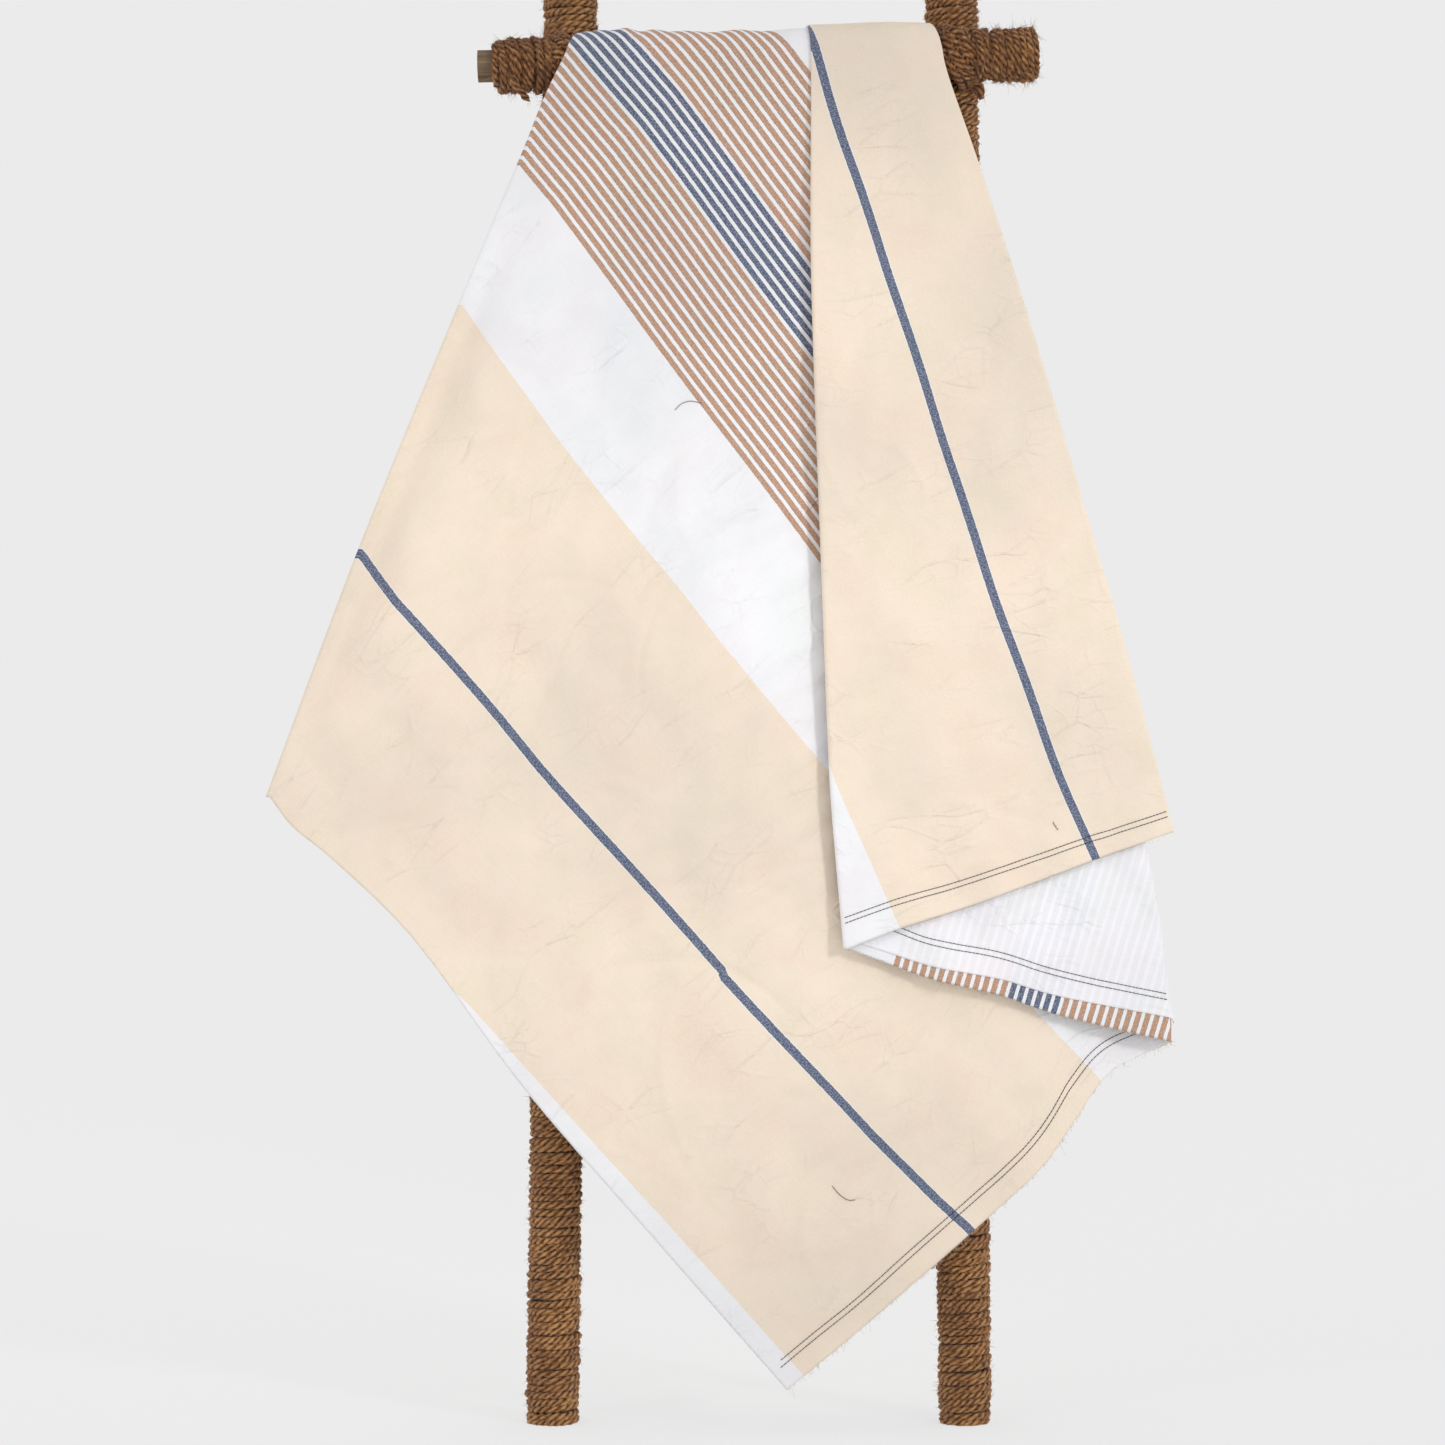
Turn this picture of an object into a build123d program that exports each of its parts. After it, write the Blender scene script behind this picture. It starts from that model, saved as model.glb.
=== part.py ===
from build123d import *
import os

# A rustic rope-wound rack, two posts and three cross bars, with a thin striped quilt hung over its top rail.
# Millimetres, +Z up, -Y is the front. Shapes are made in a working frame whose XY origin lies midway between
# the posts at the level of the top rail, and are then shifted so that the whole box stands centred on the origin.

# Posts: round poles that splay a little towards the floor
POST_DIAMETER = 40.0
POST_HEIGHT = 1620.0
LEFT_FOOT_X = -217.0
RIGHT_FOOT_X = 212.0
RAIL_HEIGHT = 1410.0
POST_X_AT_RAIL = 198.6

# Cross bars: lashed to the front of the posts, cores touching
BAR_DIAMETER = 33.0
BAR_LEFT_X = -292.0
BAR_RIGHT_X = 284.0
RUNG_HEIGHTS = {"top_rail": RAIL_HEIGHT, "middle_rung": 1030.0, "lower_rung": 650.0}
BAR_RISES = {"top_rail": 12.0, "middle_rung": -5.0, "lower_rung": 7.0}

# Rope: how much a single layer of turns adds to a radius, and how far each lashing reaches
ROPE = 7.0
LASHING_HALF_HEIGHT = 34.0
LASHING_ON_POST = 1.0
LASHING_ON_BAR = 9.5
LASHING_CLEARANCE = 0.1
LASHING_INNER_REACH = 30.0
LEFT_LASHING_OUTER_X = -275.0
RIGHT_LASHING_OUTER_X = 236.0

# Cutting shapes: wider than anything they cut, and how far a pole runs on before its ends are cut level
CUT_WIDTH = 400.0
RUN_ON = 80.0

# Quilt: a striped face cloth and a plain lining, hung over the top rail between the posts
CLOTH = 1.2
PLY_GAP = 0.3
LAYER_GAP = 14.0
FOLD_LEG = 6.0
FRONT_Y = -69.0
BACK_Y = 36.0
SADDLE_HALF_WIDTH = 165.0
SADDLE_RADIUS = 28.0
SADDLE_TOP_Z = RAIL_HEIGHT + 31
SADDLE_BACK_SLOPE = 35.0
SADDLE_LEG = 120.0
SADDLE_LEG_TRIM = 1.0
SHOULDER_Z = RAIL_HEIGHT + 33
BACK_TOP_Z = RAIL_HEIGHT - 39

# Where the cloth doubles back on itself, as (x, z) points
RIGHT_FOLD_LOW = (425, 395)
RIGHT_FOLD_TOP = (167, RAIL_HEIGHT + 2)
FLAP_FOLD_LOW = (93, 500)
FLAP_FOLD_TOP = (55, SHOULDER_Z)
BACK_LEFT_FOLD_LOW = (-430, 640)
BACK_LEFT_FOLD_TOP = (-SADDLE_HALF_WIDTH, BACK_TOP_Z)
BACK_FLAP_FOLD_LOW = (212, 385)
BACK_FLAP_FOLD_TOP = (95, BACK_TOP_Z)

BAR_Y = -(POST_DIAMETER + BAR_DIAMETER) / 2
POST_RADIUS = POST_DIAMETER / 2
BAR_RADIUS = BAR_DIAMETER / 2


def post_x(side, z):
    """The X of a post's axis at height z. side is -1 for the left post and +1 for the right one."""
    foot = LEFT_FOOT_X if side < 0 else RIGHT_FOOT_X
    return foot + (side * POST_X_AT_RAIL - foot) * z / RAIL_HEIGHT


def post_point(side, z):
    return Vector(post_x(side, z), 0, z)


def bar_point(name, x):
    """A point on a cross bar's axis, which rises steadily from left to right."""
    share = (x - BAR_LEFT_X) / (BAR_RIGHT_X - BAR_LEFT_X) - 0.5
    return Vector(x, BAR_Y, RUNG_HEIGHTS[name] + BAR_RISES[name] * share)


def rod(start, end, radius):
    """A round rod from one point to another."""
    run = end - start
    place = Plane(origin=start, z_dir=run)
    return place * Cylinder(radius, run.length, align=(Align.CENTER, Align.CENTER, Align.MIN))


def post(side, radius):
    """A post's pole, cut level at the floor and at its top."""
    pole = rod(post_point(side, -RUN_ON), post_point(side, POST_HEIGHT + RUN_ON), radius)
    trim = Box(CUT_WIDTH, CUT_WIDTH, POST_HEIGHT, align=(Align.CENTER, Align.CENTER, Align.MIN))
    return pole & (Pos(post_x(side, 0), 0, 0) * trim)


def bar(name):
    return rod(bar_point(name, BAR_LEFT_X), bar_point(name, BAR_RIGHT_X), BAR_RADIUS)


def crossing_height(name, side):
    """The height at which a bar crosses a post."""
    return bar_point(name, post_x(side, RUNG_HEIGHTS[name])).Z


def post_winding(side, low, high):
    """One layer of rope turns round a post between two heights, open in the middle for the pole."""
    turns = post(side, POST_RADIUS + ROPE)
    trim = Box(CUT_WIDTH, CUT_WIDTH, high - low, align=(Align.CENTER, Align.CENTER, Align.MIN))
    turns = turns & (Pos(post_x(side, low), 0, low) * trim)
    return turns - post(side, POST_RADIUS)


def bar_winding(name, left_x, right_x, radius):
    """Rope turns round a cross bar between two places along it."""
    turns = rod(bar_point(name, left_x), bar_point(name, right_x), radius)
    return turns - bar(name)


def lashing(name, side):
    """The knot of turns that ties a bar to a post: a collar on the post joined to a collar on the bar."""
    height = crossing_height(name, side)
    centre_x = post_x(side, height)
    low = height - LASHING_HALF_HEIGHT
    high = height + LASHING_HALF_HEIGHT
    collar = post(side, POST_RADIUS + ROPE + LASHING_ON_POST)
    trim = Box(CUT_WIDTH, CUT_WIDTH, high - low, align=(Align.CENTER, Align.CENTER, Align.MIN))
    collar = collar & (Pos(centre_x, 0, low) * trim)
    outer_x = LEFT_LASHING_OUTER_X if side < 0 else RIGHT_LASHING_OUTER_X
    inner_x = centre_x - side * LASHING_INNER_REACH
    left_x = min(outer_x, inner_x)
    right_x = max(outer_x, inner_x)
    tie = rod(bar_point(name, left_x), bar_point(name, right_x), BAR_RADIUS + LASHING_ON_BAR)
    pole = post(side, POST_RADIUS + LASHING_CLEARANCE)
    stick = rod(bar_point(name, BAR_LEFT_X), bar_point(name, BAR_RIGHT_X), BAR_RADIUS + LASHING_CLEARANCE)
    return collar + tie - pole - stick


def panel(outline, y, thickness):
    """A flat sheet with an outline given as (x, z) points, from depth y forward by thickness."""
    face = Plane.XZ.offset(-y) * Polygon(*outline, align=None)
    return extrude(face, amount=thickness, dir=(0, -1, 0))


def roll(low, high, side, centre_y, inner, outer):
    """The rounded edge where the cloth doubles back along the line from low to high, both (x, z) points.

    Two short flat legs run from it into the layers that it joins.
    """
    start = Vector(low[0], centre_y, low[1])
    end = Vector(high[0], centre_y, high[1])
    run = end - start
    outward = Vector(side * run.Z, 0, -side * run.X)
    place = Plane(origin=start, x_dir=outward, z_dir=run)
    ring = Circle(outer) - Circle(inner)
    half = ring & (Pos(outer, 0, 0) * Rectangle(2 * outer, 4 * outer))
    legs = Rectangle(2 * FOLD_LEG, 2 * outer) - Rectangle(2 * FOLD_LEG, 2 * inner)
    legs = Pos(-FOLD_LEG, 0, 0) * legs
    return extrude(place * (half + legs), amount=run.length)


def layers(outlines, folds, start_y, direction, outside):
    """One cloth of a drop: its three layers, each outline joined to the next by a rolled fold.

    direction is -1 where the layers stack towards the front and +1 towards the back. outside is True for the
    face cloth, which is on the far side of the lining in the first layer and changes sides at every fold.
    """
    pitch = LAYER_GAP + 2 * CLOTH + PLY_GAP
    shape = None
    for index, outline in enumerate(outlines):
        far = outside if index % 2 == 0 else not outside
        near_y = start_y + direction * (index * pitch + (CLOTH + PLY_GAP if far else 0))
        back_y = max(near_y, near_y + direction * CLOTH)
        sheet = panel(outline, back_y, CLOTH)
        shape = sheet if shape is None else shape + sheet
        if index < len(folds):
            low, high, side = folds[index]
            middle_y = start_y + direction * (index * pitch + CLOTH + PLY_GAP / 2 + pitch / 2)
            radius = pitch / 2 - CLOTH - PLY_GAP / 2 if far else pitch / 2 + PLY_GAP / 2
            shape = shape + roll(low, high, side, middle_y, radius, radius + CLOTH)
    return shape


def saddle_region(grow):
    """The space under the saddle in the YZ plane, grown outwards by the cloth already laid on it."""
    radius = SADDLE_RADIUS + grow
    centre = Vector(FRONT_Y + SADDLE_RADIUS, SADDLE_TOP_Z - SADDLE_RADIUS)
    slope = Vector(1, 0).rotate(Axis.Z, -SADDLE_BACK_SLOPE)
    leave = centre + slope.rotate(Axis.Z, 90) * radius
    back_y = BACK_Y + grow
    shoulder = leave + slope * ((back_y - leave.X) / slope.X)
    floor_z = SADDLE_TOP_Z - SADDLE_LEG
    front_top = Vector(FRONT_Y - grow, centre.Y)
    crown = ThreePointArc(front_top, centre + Vector(-1, 1).normalized() * radius, leave)
    rest = Polyline(leave, shoulder, Vector(back_y, floor_z), Vector(FRONT_Y - grow, floor_z), front_top)
    return make_face(Wire([crown] + list(rest.edges())))


def saddle(inner, outer):
    """The cloth over the rail between the posts, as thick as the two growths are apart."""
    band = saddle_region(outer) - saddle_region(inner)
    solid = extrude(Plane.YZ.offset(-SADDLE_HALF_WIDTH) * band, amount=2 * SADDLE_HALF_WIDTH)
    floor_z = SADDLE_TOP_Z - SADDLE_LEG
    return split(solid, Plane.XY.offset(floor_z + SADDLE_LEG_TRIM), keep=Keep.TOP)


def front_outlines():
    """The three layers of the front drop: main panel, part folded back over it, and front flap."""
    notch_z = SADDLE_TOP_Z - SADDLE_RADIUS
    main = [
        (-199, SHOULDER_Z),
        (-SADDLE_HALF_WIDTH, SHOULDER_Z),
        (-SADDLE_HALF_WIDTH, notch_z),
        RIGHT_FOLD_TOP,
        RIGHT_FOLD_LOW,
        (290, 262),
        (27, 33),
        (-338, 472),
        (-511, 650),
    ]
    folded_back = [FLAP_FOLD_TOP, RIGHT_FOLD_TOP, RIGHT_FOLD_LOW, FLAP_FOLD_LOW]
    flap = [FLAP_FOLD_TOP, (184, SHOULDER_Z), (225, 1308), (332, 959), (427, 616), FLAP_FOLD_LOW]
    return [main, folded_back, flap]


def front_folds():
    return [(RIGHT_FOLD_LOW, RIGHT_FOLD_TOP, 1), (FLAP_FOLD_LOW, FLAP_FOLD_TOP, -1)]


def back_outlines():
    """The three layers of the back drop, which end a little inside the front one."""
    main = [
        BACK_LEFT_FOLD_TOP,
        (SADDLE_HALF_WIDTH, BACK_TOP_Z),
        (374, 560),
        (184, 150),
        (20, 105),
        (-186, 270),
        BACK_LEFT_FOLD_LOW,
    ]
    folded_back = [BACK_LEFT_FOLD_TOP, BACK_FLAP_FOLD_TOP, BACK_FLAP_FOLD_LOW, (-60, 270), BACK_LEFT_FOLD_LOW]
    flap = [(-20, BACK_TOP_Z), BACK_FLAP_FOLD_TOP, BACK_FLAP_FOLD_LOW, (60, 245), (-110, 420)]
    return [main, folded_back, flap]


def back_folds():
    return [
        (BACK_LEFT_FOLD_LOW, BACK_LEFT_FOLD_TOP, -1),
        (BACK_FLAP_FOLD_LOW, BACK_FLAP_FOLD_TOP, 1),
    ]


def quilt_cloth(outside):
    """The face cloth, if outside, or the lining: front drop, saddle over the rail and back drop."""
    front = layers(front_outlines(), front_folds(), FRONT_Y, -1, outside)
    back = layers(back_outlines(), back_folds(), BACK_Y, 1, outside)
    inner = CLOTH + PLY_GAP if outside else 0
    return front + saddle(inner, inner + CLOTH) + back


def rack_nodes():
    nodes = {}
    sides = {"left": -1, "right": 1}
    for side_name, side in sides.items():
        nodes[f"{side_name}_post"] = post(side, POST_RADIUS)
        stops = [0.0]
        for name in ("lower_rung", "middle_rung", "top_rail"):
            height = crossing_height(name, side)
            stops += [height - LASHING_HALF_HEIGHT, height + LASHING_HALF_HEIGHT]
            nodes[f"{side_name}_{name}_lashing"] = lashing(name, side)
        stops.append(POST_HEIGHT)
        for index, part in enumerate(("foot", "lower", "upper", "top")):
            nodes[f"{side_name}_{part}_winding"] = post_winding(side, stops[2 * index], stops[2 * index + 1])
    for name in RUNG_HEIGHTS:
        nodes[name] = bar(name)
    inner_left = post_x(-1, crossing_height("top_rail", -1)) + LASHING_INNER_REACH
    inner_right = post_x(1, crossing_height("top_rail", 1)) - LASHING_INNER_REACH
    nodes["rail_centre_winding"] = bar_winding("top_rail", inner_left, inner_right, BAR_RADIUS + ROPE)
    nodes["rail_right_end_winding"] = bar_winding(
        "top_rail", RIGHT_LASHING_OUTER_X, BAR_RIGHT_X, BAR_RADIUS + LASHING_ON_BAR
    )
    return nodes


def all_nodes():
    """Every piece, shifted so that the whole box is centred on the origin and stands on Z = 0."""
    nodes = rack_nodes()
    nodes["quilt_lining"] = quilt_cloth(outside=False)
    nodes["quilt_face"] = quilt_cloth(outside=True)
    box = Compound(children=[Compound(shape.solids()) for shape in nodes.values()]).bounding_box()
    shift = Pos(-box.center().X, -box.center().Y, -box.min.Z)
    return {name: shift * shape for name, shape in nodes.items()}


os.makedirs("parts", exist_ok=True)
for node_name, node_shape in all_nodes().items():
    export_step(node_shape, f"parts/{node_name}.step")
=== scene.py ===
import math

import bpy
import numpy as np
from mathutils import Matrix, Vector


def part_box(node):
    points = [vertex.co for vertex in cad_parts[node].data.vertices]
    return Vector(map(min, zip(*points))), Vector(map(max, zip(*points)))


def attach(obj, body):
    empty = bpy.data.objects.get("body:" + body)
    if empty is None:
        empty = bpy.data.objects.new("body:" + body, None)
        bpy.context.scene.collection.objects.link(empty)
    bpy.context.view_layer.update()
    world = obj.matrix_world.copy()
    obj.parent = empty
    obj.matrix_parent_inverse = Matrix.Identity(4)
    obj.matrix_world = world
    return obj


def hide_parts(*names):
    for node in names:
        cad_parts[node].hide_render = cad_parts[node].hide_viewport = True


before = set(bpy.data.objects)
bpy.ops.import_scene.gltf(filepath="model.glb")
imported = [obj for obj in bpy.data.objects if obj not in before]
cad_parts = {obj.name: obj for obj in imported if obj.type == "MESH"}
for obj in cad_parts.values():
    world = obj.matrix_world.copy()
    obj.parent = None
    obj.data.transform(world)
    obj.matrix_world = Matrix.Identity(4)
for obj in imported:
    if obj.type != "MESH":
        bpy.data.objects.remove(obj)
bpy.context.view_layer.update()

rng = np.random.default_rng(11)

# ---------------------------------------------------------------- places, from the frame
RAIL_LOW, RAIL_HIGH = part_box("top_rail")
LEFT_LOW, LEFT_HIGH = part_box("left_post")
RIGHT_LOW, RIGHT_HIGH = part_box("right_post")
POST_RADIUS = (LEFT_HIGH.y - LEFT_LOW.y) / 2
BAR_RADIUS = (RAIL_HIGH.y - RAIL_LOW.y) / 2
POST_Y = (LEFT_HIGH.y + LEFT_LOW.y) / 2
RAIL_Y = (RAIL_HIGH.y + RAIL_LOW.y) / 2
POST_TOP = LEFT_HIGH.z
RAIL_OVERHANG = 0.004  # the rail reaches this much further past the left post than past the right one
MID_X = (RAIL_LOW.x + RAIL_HIGH.x) / 2 + RAIL_OVERHANG
POST_FOOT = {-1: LEFT_LOW.x + POST_RADIUS, 1: RIGHT_HIGH.x - POST_RADIUS}
POST_HEAD = {-1: LEFT_HIGH.x - POST_RADIUS, 1: RIGHT_LOW.x + POST_RADIUS}
SIDES = {"left": -1, "right": 1}
BARS = ("lower_rung", "middle_rung", "top_rail")
BAR_RISES_RIGHT = {"lower_rung": True, "middle_rung": False, "top_rail": True}

ROPE = 0.0040  # the rope's radius


def post_axis(side, z):
    return POST_FOOT[side] + (POST_HEAD[side] - POST_FOOT[side]) * z / POST_TOP


def bar_axis(name, x):
    """The height of a cross bar's axis at x."""
    low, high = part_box(name)
    left_z, right_z = low.z + BAR_RADIUS, high.z - BAR_RADIUS
    if not BAR_RISES_RIGHT[name]:
        left_z, right_z = right_z, left_z
    return left_z + (right_z - left_z) * (x - low.x) / (high.x - low.x)


# ---------------------------------------------------------------- camera
CAMERA_AWAY = 4.2
VIEW_X, VIEW_Z = -0.040, 0.7275
VIEW_WIDTH = 1.503
camera_data = bpy.data.cameras.new("camera")
camera_data.sensor_width = 36.0
camera_data.lens = camera_data.sensor_width * CAMERA_AWAY / VIEW_WIDTH
camera = bpy.data.objects.new("camera", camera_data)
bpy.context.scene.collection.objects.link(camera)
camera.location = (MID_X + VIEW_X, POST_Y - CAMERA_AWAY, VIEW_Z)
camera.rotation_euler = (math.radians(90), 0, 0)
bpy.context.scene.camera = camera


# ---------------------------------------------------------------- mesh helpers
def new_mesh(name, verts, quads, uvs, tone, material):
    """A smooth mesh object from vertices, quads and, where given, a UV and a grey tone per vertex."""
    mesh = bpy.data.meshes.new(name)
    verts = np.asarray(verts, np.float32)
    quads = np.asarray(quads, np.int32)
    mesh.vertices.add(len(verts))
    mesh.vertices.foreach_set("co", verts.ravel())
    mesh.loops.add(quads.size)
    mesh.loops.foreach_set("vertex_index", quads.ravel())
    mesh.polygons.add(len(quads))
    mesh.polygons.foreach_set("loop_start", np.arange(0, quads.size, quads.shape[1], dtype=np.int32))
    mesh.update(calc_edges=True)
    if uvs is not None:
        layer = mesh.uv_layers.new(name="Cloth")
        layer.data.foreach_set("uv", np.asarray(uvs, np.float32)[quads.ravel()].ravel())
    if tone is not None:
        attribute = mesh.attributes.new("tone", "FLOAT", "POINT")
        attribute.data.foreach_set("value", np.asarray(tone, np.float32))
    mesh.polygons.foreach_set("use_smooth", np.full(len(quads), True))
    mesh.validate()
    obj = bpy.data.objects.new(name, mesh)
    bpy.context.scene.collection.objects.link(obj)
    mesh.materials.append(material)
    return obj


def grid_quads(rows, columns, wrap=False):
    """Quads of a rows by columns grid of vertices. wrap joins the last column to the first."""
    last = columns if wrap else columns - 1
    r, c = np.meshgrid(np.arange(rows - 1), np.arange(last), indexing="ij")
    nxt = (c + 1) % columns
    here, above = r * columns, (r + 1) * columns
    quads = np.stack([here + c, here + nxt, above + nxt, above + c], -1)
    return quads.reshape(-1, 4)


def unit(vectors, tiny=0.0):
    """Rows of vectors brought to length 1. tiny keeps an empty one from dividing by zero."""
    return vectors / (np.linalg.norm(vectors, axis=1)[:, None] + tiny)


def arc_length(path):
    """The distance along a path at each of its points."""
    return np.r_[0, np.cumsum(np.linalg.norm(np.diff(path, axis=0), axis=1))]


SPAN_STEPS = 24


def spline(points, count):
    """Points evenly spaced along a smooth curve through a few points."""
    p = np.asarray(points, float)
    p = np.vstack([2 * p[0] - p[1], p, 2 * p[-1] - p[-2]])
    out = []
    for i in range(1, len(p) - 2):
        t = np.linspace(0, 1, SPAN_STEPS, endpoint=False)[:, None]
        a, b, c, d = p[i - 1], p[i], p[i + 1], p[i + 2]
        curve = 2 * b + (c - a) * t + (2 * a - 5 * b + 4 * c - d) * t**2
        out.append(0.5 * (curve + (3 * b - a - 3 * c + d) * t**3))
    out = np.vstack(out + [p[-2:-1]])
    return resample(out, count)


def resample(line, count):
    """Points evenly spaced along a chain of straight pieces."""
    length = arc_length(line)
    at = np.linspace(0, length[-1], count)
    return np.stack([np.interp(at, length, line[:, k]) for k in range(line.shape[1])], -1)


def smooth_step(x, low, high):
    """0 below one limit and 1 above the other, with a smooth change between them."""
    t = np.clip((x - low) / (high - low), 0, 1)
    return t * t * (3 - 2 * t)


def window(x, low, full, fall, end):
    """1 between full and fall, and 0 below low and above end."""
    return smooth_step(x, low, full) * (1 - smooth_step(x, fall, end))


def bell(x, centre, width):
    """A smooth rise to 1 at a centre."""
    return np.exp(-(((x - centre) / width) ** 2))


WAVES = 7


def wave_noise(x, z, size, seed):
    """Smooth noise between about -1 and 1 over points, made of a few sine waves in different directions."""
    r = np.random.default_rng(seed)
    total = np.zeros_like(x)
    for _ in range(WAVES):
        angle = r.uniform(0, math.tau)
        length = size * r.uniform(0.6, 1.7)
        phase = r.uniform(0, math.tau)
        total = total + np.sin((x * math.cos(angle) + z * math.sin(angle)) * math.tau / length + phase)
    return 2 * total / WAVES


# ---------------------------------------------------------------- material helpers
def new_material(name, sockets):
    """A material, its node tree and its shader, with constants on the shader's own sockets."""
    material = bpy.data.materials.new(name)
    material.use_nodes = True
    shader = material.node_tree.nodes["Principled BSDF"]
    for socket, value in sockets.items():
        shader.inputs[socket].default_value = value
    return material, material.node_tree, shader


def cloth_uv(tree):
    """The sheet coordinates: the mesh's own UV map."""
    node = tree.nodes.new("ShaderNodeUVMap")
    node.uv_map = "Cloth"
    return node.outputs[0]


def object_place(tree):
    return tree.nodes.new("ShaderNodeTexCoord").outputs["Object"]


def math_node(tree, operation, *values):
    node = tree.nodes.new("ShaderNodeMath")
    node.operation = operation
    for socket, value in zip(node.inputs, values):
        if isinstance(value, (int, float)):
            socket.default_value = value
        else:
            tree.links.new(value, socket)
    return node.outputs[0]


def mix_colour(tree, share, first, second, blend="MIX"):
    node = tree.nodes.new("ShaderNodeMix")
    node.data_type = "RGBA"
    node.blend_type = blend
    for socket, value in ((node.inputs[0], share), (node.inputs[6], first), (node.inputs[7], second)):
        if isinstance(value, (int, float)):
            socket.default_value = value
        elif isinstance(value, tuple):
            socket.default_value = (*value, 1.0)
        else:
            tree.links.new(value, socket)
    return node.outputs[2]


def noise_node(tree, vector, scale, detail=3.0, roughness=0.55):
    node = tree.nodes.new("ShaderNodeTexNoise")
    node.inputs["Scale"].default_value = scale
    node.inputs["Detail"].default_value = detail
    node.inputs["Roughness"].default_value = roughness
    tree.links.new(vector, node.inputs["Vector"])
    return node.outputs["Fac"]


def stretched(tree, vector, scale):
    node = tree.nodes.new("ShaderNodeVectorMath")
    node.operation = "MULTIPLY"
    tree.links.new(vector, node.inputs[0])
    node.inputs[1].default_value = scale
    return node.outputs[0]


def streaks(tree, vector, scale, detail=3.0, roughness=0.55):
    """Noise that is finer along some directions than others."""
    return noise_node(tree, stretched(tree, vector, scale), 1.0, detail, roughness)


def ramp_node(tree, value, stops):
    node = tree.nodes.new("ShaderNodeValToRGB")
    ramp = node.color_ramp
    while len(ramp.elements) < len(stops):
        ramp.elements.new(1.0)
    for element, (place, colour) in zip(ramp.elements, stops):
        element.position = place
        element.color = (*colour, 1.0)
    tree.links.new(value, node.inputs[0])
    return node.outputs[0]


def tinted(tree, colour, share, value, stops):
    """A colour multiplied by a ramp over a value."""
    return mix_colour(tree, share, colour, ramp_node(tree, value, stops), "MULTIPLY")


def surface(tree, shader, colour, height, strength, distance):
    """Give a shader its colour and a bump from a height."""
    tree.links.new(colour, shader.inputs["Base Color"])
    node = tree.nodes.new("ShaderNodeBump")
    node.inputs["Strength"].default_value = strength
    node.inputs["Distance"].default_value = distance
    tree.links.new(height, node.inputs["Height"])
    tree.links.new(node.outputs[0], shader.inputs["Normal"])


def linear(red, green, blue):
    """A linear colour from screen values out of 255."""
    shares = (red / 255, green / 255, blue / 255)
    return tuple(c / 12.92 if c <= 0.04045 else ((c + 0.055) / 1.055) ** 2.4 for c in shares)


# ---------------------------------------------------------------- materials
CREAM = linear(240, 223, 202)
WHITE = linear(240, 240, 243)
LINING_WHITE = linear(247, 247, 252)
BROWN = linear(184, 142, 113)
BLUE = linear(82, 93, 121)
SHEET_WIDTH, SHEET_LENGTH = 1.524, 2.286
# Distances across the sheet, in metres
BORDER = 0.023
CREAM_WIDTH = 0.457
LINE_WIDTH = 0.0092
LINE_EDGE = 0.0007
STRIPES_START = 0.6115
STRIPES_END = 0.9152
STRIPE_COUNT = 32
SIDE_STRIPES = 13
STRIPE_COVER = 0.62  # the coloured share of each stripe and the gap after it
YARN_WAVER = 0.0012
CREAM_STARTS = (BORDER, SHEET_WIDTH - BORDER - CREAM_WIDTH)


def band(tree, value, low, high):
    """1 where a value is between two limits, and 0 elsewhere."""
    above = math_node(tree, "GREATER_THAN", value, low)
    below = math_node(tree, "LESS_THAN", value, high)
    return math_node(tree, "MULTIPLY", above, below)


def cloth_pattern(tree, across):
    """The stripes by distance across: white borders, cream bands with a blue line, and a striped middle."""
    colour = WHITE
    for start in CREAM_STARTS:
        middle = start + CREAM_WIDTH / 2
        colour = mix_colour(tree, band(tree, across, start, start + CREAM_WIDTH), colour, CREAM)
        for half, tone in ((LINE_WIDTH / 2 + LINE_EDGE, WHITE), (LINE_WIDTH / 2, BLUE)):
            colour = mix_colour(tree, band(tree, across, middle - half, middle + half), colour, tone)
    pitch = (STRIPES_END - STRIPES_START) / STRIPE_COUNT
    turns = math_node(tree, "DIVIDE", math_node(tree, "SUBTRACT", across, STRIPES_START), pitch)
    coloured = math_node(tree, "LESS_THAN", math_node(tree, "FRACT", turns), STRIPE_COVER)
    coloured = math_node(tree, "MULTIPLY", coloured, band(tree, turns, 0.0, float(STRIPE_COUNT)))
    blue = band(tree, turns, float(SIDE_STRIPES), float(STRIPE_COUNT - SIDE_STRIPES))
    return mix_colour(tree, coloured, colour, mix_colour(tree, blue, BROWN, BLUE))


def crease_lines(tree, uv, stretch, width, low, high):
    """Sharp straight creases as in pressed cotton: the edges of stretched cells, in some patches only."""
    bend = streaks(tree, uv, (6.0, 6.0, 1.0), 2.0)
    shifted = tree.nodes.new("ShaderNodeVectorMath")
    shifted.operation = "ADD"
    tree.links.new(stretched(tree, uv, stretch), shifted.inputs[0])
    tree.links.new(math_node(tree, "MULTIPLY", bend, 1.2), shifted.inputs[1])
    cells = tree.nodes.new("ShaderNodeTexVoronoi")
    cells.feature = "DISTANCE_TO_EDGE"
    cells.inputs["Scale"].default_value = 1.0
    tree.links.new(shifted.outputs[0], cells.inputs["Vector"])
    near = math_node(tree, "SUBTRACT", 1.0, math_node(tree, "DIVIDE", cells.outputs["Distance"], width))
    ridge = math_node(tree, "MAXIMUM", near, 0.0)
    patches = streaks(tree, uv, (11.0, 17.0, 1.0), 1.0)
    kept = ramp_node(tree, patches, [(low, (0, 0, 0)), (high, (1, 1, 1))])
    return math_node(tree, "MULTIPLY", ridge, kept)


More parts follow.
